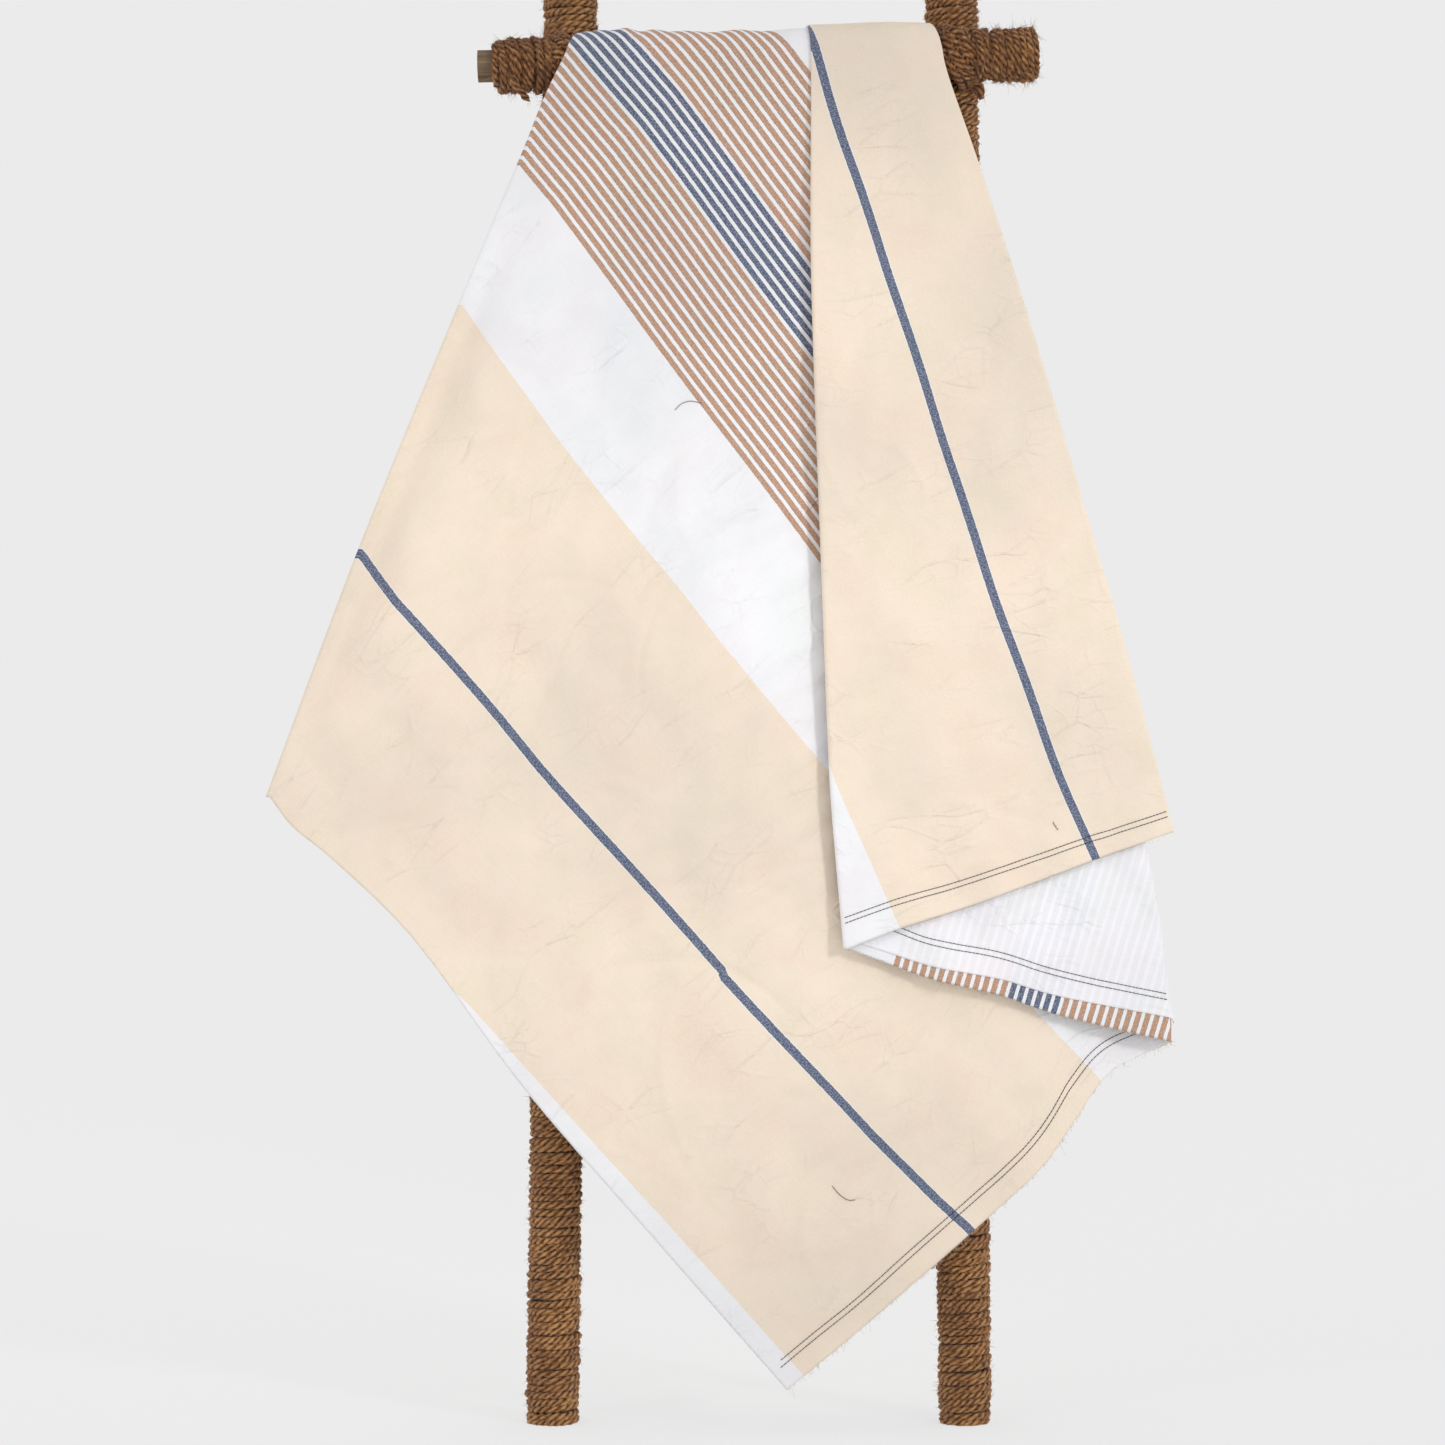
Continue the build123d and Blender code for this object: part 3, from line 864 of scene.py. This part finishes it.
def rope_arrays(path, outward, radius=ROPE):
    """A three-strand rope along a path: vertices, quads, UVs and tones. outward is any way off the path."""
    tangent = unit(np.gradient(path, axis=0))
    side = unit(outward - (outward * tangent).sum(1)[:, None] * tangent)
    other = np.cross(tangent, side)
    length = arc_length(path)
    twist = -math.tau * length / LAY + 0.9 * np.sin(length * 61 + 3 * np.sin(length * 13))
    centres = math.tau * np.arange(STRANDS)[:, None] / STRANDS
    angles = (centres + [-CROWN_ANGLE, CROWN_ANGLE, math.pi / STRANDS]).reshape(1, RING) + twist[:, None]
    thick = radius * (1 + 0.08 * np.sin(length * 130 + 2 * np.sin(length * 37)))
    reach = np.tile([1.0, 1.0, CREVICE], STRANDS) * thick[:, None]
    reach = reach * (1 + rng.normal(0, 0.12, (len(path), RING)))
    order = np.arange(len(path))
    reach = reach * np.clip(np.minimum(order, order[::-1]) / 2.0, 0.05, 1)[:, None]
    verts = path[:, None] + reach[..., None] * around(side, other, angles)
    uvs = np.stack(np.meshgrid(np.linspace(0, 1, RING), length * 12), -1)
    # Crowns get a high tone and crevices a tone near 0, which the rope's material paints as shade; the
    # noise varies it at random.
    tones = np.tile([0.9, 0.9, 0.0], STRANDS) + rng.normal(0, 0.22, (len(path), RING))
    return verts.reshape(-1, 3), grid_quads(len(path), RING, wrap=True), uvs.reshape(-1, 2), tones.ravel()


def join_arrays(parts):
    """Several meshes as one: vertices, quads, and whatever else each one gives for its vertices."""
    verts, quads, *others = zip(*parts)
    starts = np.cumsum([0] + [len(v) for v in verts[:-1]])
    quads = [q + start for q, start in zip(quads, starts)]
    return [np.concatenate(group) for group in (verts, quads, *others)]


FIBRE_POINTS = 3


def fibre_arrays(roots, outward, along, count, reach):
    """Loose fibres on rope: thin tapering curved hairs, most of them lying nearly along it."""
    pick = rng.integers(0, len(roots), count)
    root, away, run = roots[pick], outward[pick], along[pick]
    spin = np.cross(run, away)
    stand = rng.uniform(0.05, 1.0, (count, 1)) ** 3
    direction = run * rng.choice([-1, 1], (count, 1)) + spin * rng.normal(0, 0.6, (count, 1))
    direction = unit(direction + away * stand * 1.2)
    size = reach * rng.uniform(0.35, 1.3, (count, 1))
    bend = rng.normal(0, 0.35, (count, 3)) - away * 0.25 * (1 - stand)
    turn = rng.uniform(-1.3, 1.3, (count, 1))
    base = root + ROPE * 0.92 * (np.cos(turn) * away + np.sin(turn) * spin)
    t = np.linspace(0, 1, FIBRE_POINTS)[None, :, None]
    path = base[:, None] + size[:, None] * (direction[:, None] * t + bend[:, None] * t * t)
    side = unit(np.cross(direction, [0.3, 0.5, 0.81]), 1e-9)
    other = np.cross(direction, side)
    width = rng.uniform(0.00014, 0.00034, (count, 1))[:, None] * (1.15 - t)
    ring = [side, -0.5 * side + 0.87 * other, -0.5 * side - 0.87 * other]
    verts = np.stack([path + width * r[:, None] for r in ring], 2).reshape(-1, 3)
    starts = np.arange(count) * FIBRE_POINTS * 3
    quads = grid_quads(FIBRE_POINTS, 3, wrap=True)[None] + starts[:, None, None]
    tone = np.repeat(rng.uniform(0.35, 1.25, count), FIBRE_POINTS * 3)
    return verts, quads.reshape(-1, 4), np.tile([[0.3, 0.3]], (len(verts), 1)), tone


def helix_path(start, end, radius, pitch, wobble, seed, tilt=0.0):
    """Turns wound round a straight bar, with a little unevenness, and the direction out from the bar."""
    start, end = np.asarray(start, float), np.asarray(end, float)
    axis = end - start
    length = np.linalg.norm(axis)
    axis /= length
    side = np.cross(axis, [0.0, 1.0, 0.02])
    side /= np.linalg.norm(side)
    other = np.cross(axis, side)
    turns = length / pitch
    count = int(turns * math.tau * radius / ROPE_STEP)
    t = np.linspace(0, 1, count)
    angle = t * turns * math.tau
    r = np.random.default_rng(seed)
    knots = max(int(turns * 2), 4)
    uneven = np.interp(t, np.linspace(0, 1, knots), r.normal(0, wobble, knots))
    swell = np.interp(t, np.linspace(0, 1, knots), r.normal(0, wobble * 0.7, knots))
    outward = np.cos(angle)[:, None] * side + np.sin(angle)[:, None] * other
    shift = t * length + uneven + tilt * np.sin(angle)
    shift = np.clip(shift, ROPE * 0.6, length - ROPE * 0.6)
    path = start + shift[:, None] * axis + (radius + swell)[:, None] * outward
    return path, outward


PITCH = 0.0073  # from one turn of a winding to the next
LASHING_PITCH = 0.0072
COLLAR_WIDTH = 0.016  # of a lashing's turns on the post, above and below the crossing
CROSS_STEP = 0.0068


def post_turns(side, low, high, radius, wobble, seed):
    """Turns round a post between two heights."""
    ends = [(post_axis(side, z), POST_Y, z) for z in (low, high)]
    return helix_path(*ends, radius, PITCH, wobble, seed)


def bar_turns(name, left, right, radius, pitch, wobble, seed, tilt=0.0):
    """Turns round a cross bar between two places along it."""
    ends = [(x, RAIL_Y, bar_axis(name, x)) for x in (left, right)]
    return helix_path(*ends, radius, pitch, wobble, seed, tilt)


FIBRES_PER_METRE = 400


def rope_piece(node, parts, hairs=1.0, reach=0.0065, shade=-0.06):
    """Rope turns and their loose fibres as one piece that stands for a CAD winding or lashing.

    hairs and reach are how many fibres there are and how long, and shade is how much darker the rope is.
    """
    arrays = [rope_arrays(*part) for part in parts]
    roots = np.vstack([part[0] for part in parts])
    ways = np.vstack([part[1] for part in parts])
    runs = unit(np.vstack([np.gradient(part[0], axis=0) for part in parts]), 1e-9)
    metres = len(roots) * ROPE_STEP
    arrays.append(fibre_arrays(roots, ways, runs, int(metres * FIBRES_PER_METRE * hairs), reach))
    verts, quads, uvs, tones = join_arrays(arrays)
    verts[:, 2] = np.clip(verts[:, 2], 0.0, POST_TOP + ROPE)
    obj = new_mesh(f"rope_{node}", verts, quads, uvs, tones - shade, COIR)
    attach(obj, "rack")
    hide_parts(node)


WINDINGS = ("foot", "lower", "upper", "top")
for side_name, side in SIDES.items():
    for index, part in enumerate(WINDINGS):
        node = f"{side_name}_{part}_winding"
        low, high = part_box(node)
        turns = post_turns(side, low.z, high.z, POST_RADIUS + ROPE * 0.95, 0.0009, 40 + index + 10 * side)
        rope_piece(node, [turns], 2.2 if part == "top" else 1.0)


def loop_path(centre, along, half_along, half_depth, seed):
    """A tight closed turn round a crossing, in the plane of depth and a direction in the rack's plane."""
    count = int(math.tau * (half_along + half_depth) / 2 / ROPE_STEP)
    a = np.linspace(0, math.tau, count)
    cos, sin = np.cos(a), np.sin(a)
    squash = (np.abs(cos) ** 2.6 + np.abs(sin) ** 2.6) ** (-1 / 2.6)
    r = np.random.default_rng(seed)
    wander = 0.0015 * np.sin(a * 2 + r.uniform(0, 6)) + 0.0011 * np.sin(a * 5 + r.uniform(0, 6))
    forward = np.array([0, -1, 0])
    outward = cos[:, None] * along + sin[:, None] * forward
    path = centre + (half_along * squash * cos)[:, None] * along
    path = path + (half_depth * squash * sin)[:, None] * forward
    path = path - wander[:, None] * np.cross(along, forward)
    return path, outward


def lashing_parts(node, name, side):
    """The turns of one lashing: collars on the bar and on the post, and crossed diagonal turns."""
    node_low, node_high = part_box(node)
    x = post_axis(side, (node_low.z + node_high.z) / 2)
    z = bar_axis(name, x)
    outer = node_low.x if side < 0 else node_high.x
    inner = x - side * (POST_RADIUS + ROPE * 2 + 0.002)
    near = x + side * (POST_RADIUS * 0.9)
    tight, loose = BAR_RADIUS + ROPE, BAR_RADIUS + ROPE * 2.0
    seed = 70 + 7 * side + BARS.index(name)
    parts = []
    for ends, radius, wobble, tilt in (
        ((outer, near), tight, 0.0008, 0.0),
        ((outer - side * 0.004, near), loose, 0.0018, 0.0065),
        ((inner, inner + side * 0.010), tight, 0.0005, 0.0),
    ):
        parts.append(bar_turns(name, *sorted(ends), radius, LASHING_PITCH, wobble, seed, tilt))
    for low in (node_low.z, node_high.z - COLLAR_WIDTH):
        parts.append(post_turns(side, low, low + COLLAR_WIDTH, POST_RADIUS + ROPE, 0.0008, seed + 3))
    front, back = RAIL_Y - BAR_RADIUS - ROPE, POST_Y + POST_RADIUS + ROPE
    middle = np.array([x, (front + back) / 2, z])
    for layer, angle in enumerate(np.radians([48, 132])):
        along = np.array([math.cos(angle), 0, math.sin(angle)])
        flat = np.array([-along[2], 0, along[0]])
        for k in range(-2, 3):
            grow = 0.0022 * layer - 0.0008 * abs(k)
            half_along = 0.0330 + grow - 0.0016 * abs(k)
            half_depth = (back - front) / 2 + grow
            centre = middle + flat * k * CROSS_STEP
            turn = loop_path(centre, along, half_along, half_depth, seed + 5 * k + layer)
            parts.append((*turn, ROPE * (1.0 + 0.12 * ((k + layer) % 2))))
    return parts


def tail_part(start, steps):
    """A short loose rope end, from its start by a few steps."""
    path = spline(np.cumsum([start, *steps], axis=0), 14)
    return path, np.tile([[0.0, -1.0, 0.2]], (len(path), 1))


for side_name, side in SIDES.items():
    for name in BARS:
        node = f"{side_name}_{name}_lashing"
        parts = lashing_parts(node, name, side)
        if name == "top_rail" and side < 0:
            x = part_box(node)[0].x
            place = (x + 0.020, RAIL_Y - 0.022, bar_axis(name, x) - 0.012)
            steps = [(0.004, -0.002, -0.012), (0.008, 0.0, -0.010), (0.006, 0.002, -0.006)]
            parts.append(tail_part(place, steps))
        if name == "top_rail" and side > 0:
            place = (post_axis(side, 1.40) + 0.024, RAIL_Y + 0.004, bar_axis(name, MID_X) - 0.022)
            parts.append(tail_part(place, [(0.004, 0.001, -0.009), (-0.001, 0.002, -0.009)]))
        rope_piece(node, parts, 1.5, 0.009, 0.20)

low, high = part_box("rail_centre_winding")
turns = bar_turns("top_rail", low.x, high.x, BAR_RADIUS + ROPE * 0.92, PITCH, 0.0004, 91)
rope_piece("rail_centre_winding", [turns], 0.1, 0.003)

low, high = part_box("rail_right_end_winding")
low_z, high_z = bar_axis("top_rail", low.x), bar_axis("top_rail", high.x)
parts = []
for k, (from_left, from_right, over) in enumerate(((0.0, 0.0, 0.92), (0.002, 0.003, 1.9))):
    ends = [(low.x + from_left, RAIL_Y, low_z), (high.x - from_right, RAIL_Y, high_z)]
    parts.append(helix_path(*ends, BAR_RADIUS + ROPE * over, PITCH, 0.0010, 93 + k, 0.001 * k))
place = (high.x - 0.012, RAIL_Y - 0.020, high_z - 0.016)
parts.append(tail_part(place, [(0.003, 0, -0.008), (0.002, 0, -0.008)]))
rope_piece("rail_right_end_winding", parts, 2.0, 0.010, 0.12)

# ---------------------------------------------------------------- bare poles keep their CAD shape
for node in ("left_post", "right_post", *BARS):
    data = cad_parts[node].data
    data.materials.clear()
    data.materials.append(POLE)


# ---------------------------------------------------------------- stitching and loose threads on the quilt
def tube_arrays(path, radius, sides):
    """A thin thread along a path: vertices, quads and UVs."""
    tangent = unit(np.gradient(path, axis=0), 1e-12)
    side = unit(np.cross(tangent, [0.21, 0.35, 0.91]), 1e-12)
    angles = np.linspace(0, math.tau, sides, endpoint=False)
    verts = path[:, None] + radius * around(side, np.cross(tangent, side), angles)
    return verts.reshape(-1, 3), grid_quads(len(path), sides, wrap=True), np.zeros((len(path) * sides, 2))


def thread_piece(name, tubes, material):
    """Threads on the quilt, all in one piece."""
    obj = new_mesh(name, *join_arrays(tubes), None, material)
    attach(obj, "quilt")


def hem_columns(name):
    """The columns of one layer that end at the sewn hem. The main panel's others end at the selvedge."""
    index = NAMES.index(name)
    start = sum(COLUMNS[:index])
    skip = SELVEDGE_COLUMNS - 1 if name == "main" else 0
    return start + skip, start + COLUMNS[index]


def seam_line(name, grid, heights, lift):
    """A line on one layer at distances from its hem, first column to last, lifted off the face side."""
    normals = grid_normals(grid)
    first, last = hem_columns(name)
    run = np.pad(np.gradient(grid[0, first:last], axis=0), ((6, 6), (0, 0)), mode="edge")
    run = unit(np.stack([np.convolve(run[:, k], np.ones(13) / 13, "valid") for k in range(3)], -1))
    out = []
    for column, height, tangent in zip(range(first, last), np.linspace(*heights, last - first), run):
        column_points = grid[:, column]
        rise = column_points - column_points[0]
        away = np.linalg.norm(rise - (rise @ tangent)[:, None] * tangent, axis=1)
        row = np.interp(height, away, np.arange(SEAM_ROWS))
        low_row = min(int(row), SEAM_ROWS - 3)
        share = row - low_row
        p = column_points[low_row] * (1 - share) + column_points[low_row + 1] * share
        out.append(p + normals[low_row, column] * lift)
    out = np.array(out)
    if name == "main":
        way = out[0] - out[5]
        out = np.vstack([out[0] + way * CORNER_REACH / np.linalg.norm(way), out])
    return out


CORNER_REACH = 0.010  # the seam runs on past the last hem column to the selvedge
STITCH_PITCH = 0.0040
STITCH_POINTS = 6  # a stitch takes five of the six steps to the next one
STITCH_LIFT = 0.00095
STITCH_RADIUS = 0.00042
YARN_RADIUS = 0.00016
STRAY_RADIUS = 0.00035
SEAM_ROWS = 40
FRONT_END, BACK_END = GRID[:SEAM_ROWS], GRID[::-1][:SEAM_ROWS]
# Each double seam: layer, rows from the hem up, side of the cloth, distances from the hem at the first and
# last columns, and how far the second row of stitches is above the first
SEAMS = (
    ("main", FRONT_END, 1, (0.0225, 0.0210), 0.0057),
    ("folded", FRONT_END, -1, (0.0410, 0.0320), 0.0058),
    ("flap", FRONT_END, 1, (0.0250, 0.0165), 0.0055),
    ("main", BACK_END, -1, (0.0225, 0.0225), 0.0055),
    ("flap", BACK_END, -1, (0.0225, 0.0225), 0.0055),
)
stitches = []
for name, hem_rows, lift, (first, last), apart in SEAMS:
    for more in (0.0, apart):
        seam = seam_line(name, hem_rows, (first + more, last + more), lift * STITCH_LIFT)
        count = int(arc_length(seam)[-1] / STITCH_PITCH)
        dense = resample(seam, count * STITCH_POINTS).reshape(count, STITCH_POINTS, 3)
        stitches += [tube_arrays(stitch, STITCH_RADIUS, 5) for stitch in dense]
thread_piece("hem_stitching", stitches, STITCH)


def edge_threads():
    """Frayed yarn ends along the raw hem."""
    parts = []
    for name, amount in (("main", 260), ("folded", 300), ("flap", 60)):
        first, last = hem_columns(name)
        edge, inner = GRID[0, first:last], GRID[3, first:last]
        for i in rng.integers(0, len(edge) - 1, amount):
            out = edge[i] - inner[i]
            out /= np.linalg.norm(out) + 1e-9
            size = rng.uniform(0.0015, 0.005) * (2.2 if rng.random() < 0.08 else 1)
            t = np.linspace(0, 1, 5)[:, None]
            root = edge[i] + (edge[i + 1] - edge[i]) * rng.random() - out * 0.001
            path = root + size * (out * t + rng.normal(0, 0.35, 3) * t * t) + rng.normal(0, 0.0003, 3)
            parts.append(tube_arrays(path, YARN_RADIUS, 3))
    return parts


thread_piece("frayed_hem_threads", edge_threads(), LOOSE)

# Stray threads lying on the cloth, as (x, z) points on the main panel or the flap
STRAY_THREADS = (
    (0, [(-0.0894, 1.0525), (-0.0832, 1.0587), (-0.0738, 1.0618), (-0.0613, 1.0598)]),
    (0, [(0.0739, 0.2455), (0.0822, 0.2361), (0.0905, 0.2309), (0.0978, 0.2309)]),
    (2, [(0.3037, 0.6240), (0.3060, 0.6200), (0.3089, 0.6157)]),
)
strays = []
for layer, points in STRAY_THREADS:
    seen = spline(points, 16)
    depth = TOP_DEPTH + undulation(seen) + layer * LAYER_GAP + 0.0012
    strays.append(tube_arrays(place_front(seen, depth), STRAY_RADIUS, 4))
thread_piece("stray_threads", strays, STRAY)

# ---------------------------------------------------------------- studio
BACKGROUND = 0.83
PAPER = 0.24


def studio_material():
    """Pale paper that keeps the tone of the sky around it, but still takes a soft shadow."""
    return new_material("studio_paper", {
        "Roughness": 1.0, "Base Color": (PAPER, PAPER, PAPER, 1), "Specular IOR Level": 0.0,
        "Emission Color": (1.0, 1.0, 1.0, 1), "Emission Strength": BACKGROUND * (1 - PAPER),
    })[0]


def studio():
    """A plain floor that reaches far past the object on every side."""
    rings = [0.0, 2.0, 6.0, 20.0, 90.0]
    angles = np.radians(np.arange(0, 360, 10))
    rows = np.array([[(r * math.cos(a), r * math.sin(a), 0.0) for a in angles] for r in rings])
    quads = grid_quads(len(rings), len(angles), wrap=True)
    obj = new_mesh("studio_floor", rows.reshape(-1, 3), quads, None, None, studio_material())


def spot_light(name, place, target, angle, size, power):
    data = bpy.data.lights.new(name, "SPOT")
    data.spot_size = math.radians(angle)
    data.spot_blend = 1.0
    data.shadow_soft_size = size
    data.energy = power
    obj = bpy.data.objects.new(name, data)
    bpy.context.scene.collection.objects.link(obj)
    obj.location = place
    obj.rotation_euler = (Vector(target) - Vector(place)).to_track_quat("-Z", "Y").to_euler()


studio()
spot_light("side", (-2.7, -2.8, 1.6), (-0.05, 0, 0.74), 28, 0.30, 80)
spot_light("key", (2.7, -2.8, 2.0), (-0.02, 0, 0.70), 28, 0.30, 205)
world = bpy.data.worlds.new("studio_world")
bpy.context.scene.world = world
world.use_nodes = True
world.node_tree.nodes["Background"].inputs[0].default_value = (1.0, 1.0, 1.0, 1)
world.node_tree.nodes["Background"].inputs[1].default_value = BACKGROUND
bpy.context.scene.view_settings.view_transform = "Standard"
